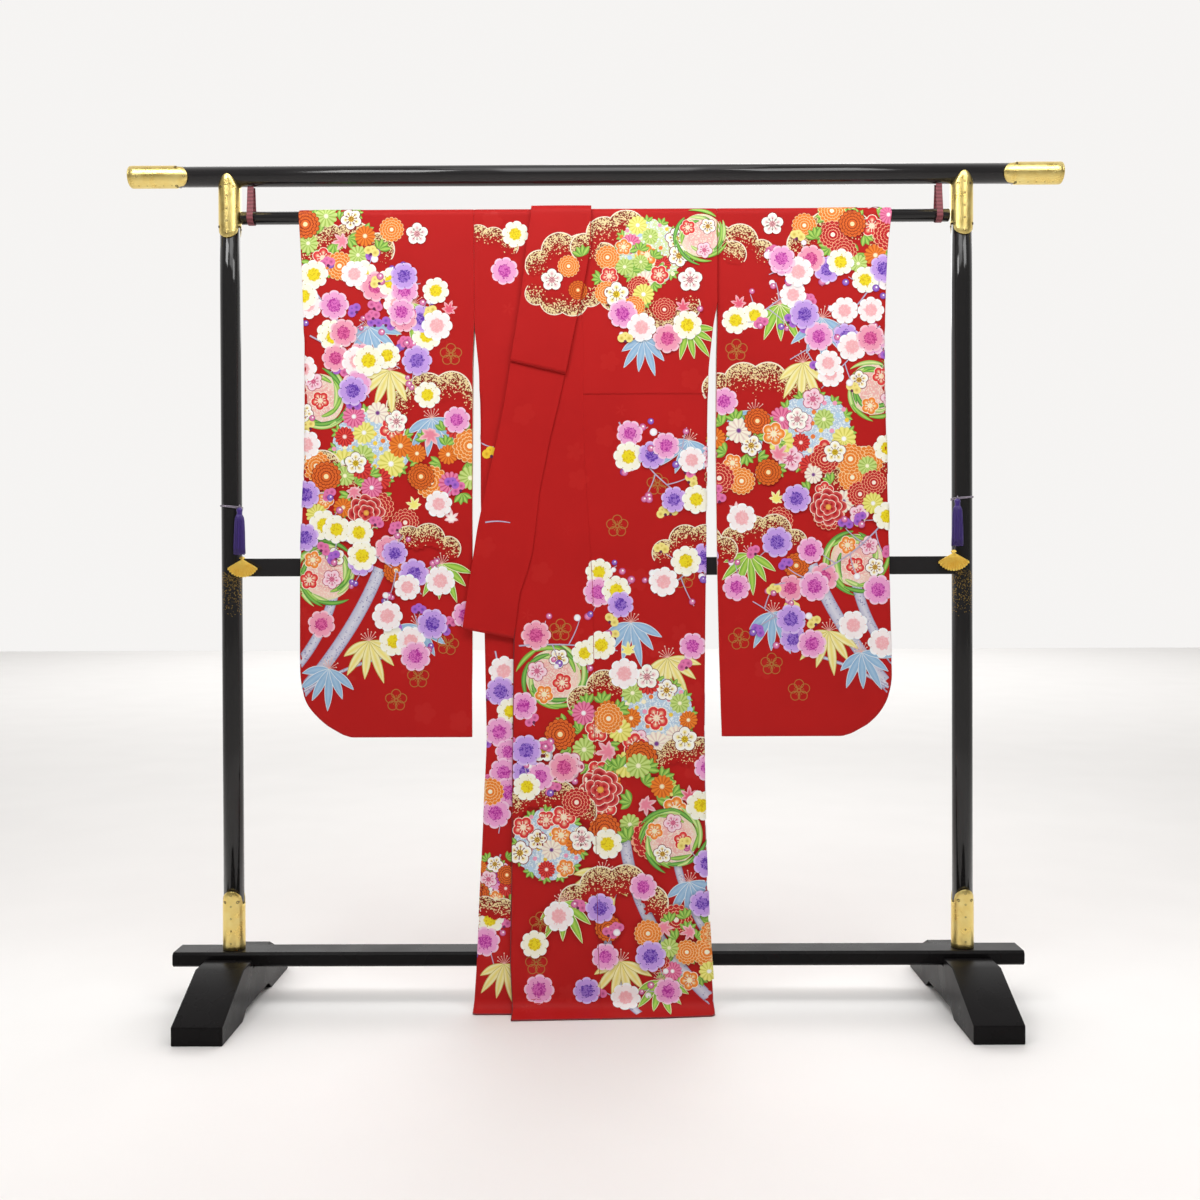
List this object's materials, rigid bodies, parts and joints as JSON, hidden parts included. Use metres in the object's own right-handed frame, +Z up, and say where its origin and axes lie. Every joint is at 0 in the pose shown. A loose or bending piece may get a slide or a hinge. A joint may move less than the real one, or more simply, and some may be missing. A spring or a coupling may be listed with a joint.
{
  "type": "furisode kimono on a lacquered kimono stand",
  "caption": "Long-sleeved silk kimono with flower pattern, hung open-collared over the rod of a black lacquered stand with gilt fittings and tassels.",
  "frame": {"origin": "on the floor, midway between the posts and midway between the toes of the feet", "axes": "+Z up, +X to the right of someone facing the stand (the wearer's left), front of the kimono faces -Y"},
  "size_m": [1.81, 0.444, 1.6343],
  "materials": {
    "silk": "lustrous red silk crepe with dyed flowers",
    "lacquer": "polished black lacquer on wood",
    "gold_fittings": "gilt, satin",
    "ribbon": "woven ribbon, dull",
    "tassel": "purple silk thread",
    "cord": "pale twisted cord"
  },
  "bodies": {
    "root": {"sleeve_right": "silk", "sleeve_left": "silk", "body_right": "silk", "body_left": "silk", "okumi_upper": "silk", "okumi_under": "silk", "collar": "silk", "over_collar": "silk", "top_beam": "lacquer", "mid_rail": "lacquer", "base_beam": "lacquer", "rod": "lacquer", "post_minus_x": "lacquer", "foot_minus_x": "lacquer", "beam_cap_minus_x": "gold_fittings", "upper_sleeve_minus_x": "gold_fittings", "lower_sleeve_minus_x": "gold_fittings", "strap_minus_x": "ribbon", "tassel_minus_x": "tassel", "fan_minus_x": "gold_fittings", "cord_minus_x": "cord", "post_plus_x": "lacquer", "foot_plus_x": "lacquer", "beam_cap_plus_x": "gold_fittings", "upper_sleeve_plus_x": "gold_fittings", "lower_sleeve_plus_x": "gold_fittings", "strap_plus_x": "ribbon", "tassel_plus_x": "tassel", "fan_plus_x": "gold_fittings", "cord_plus_x": "cord"}
  },
  "joints": []
}
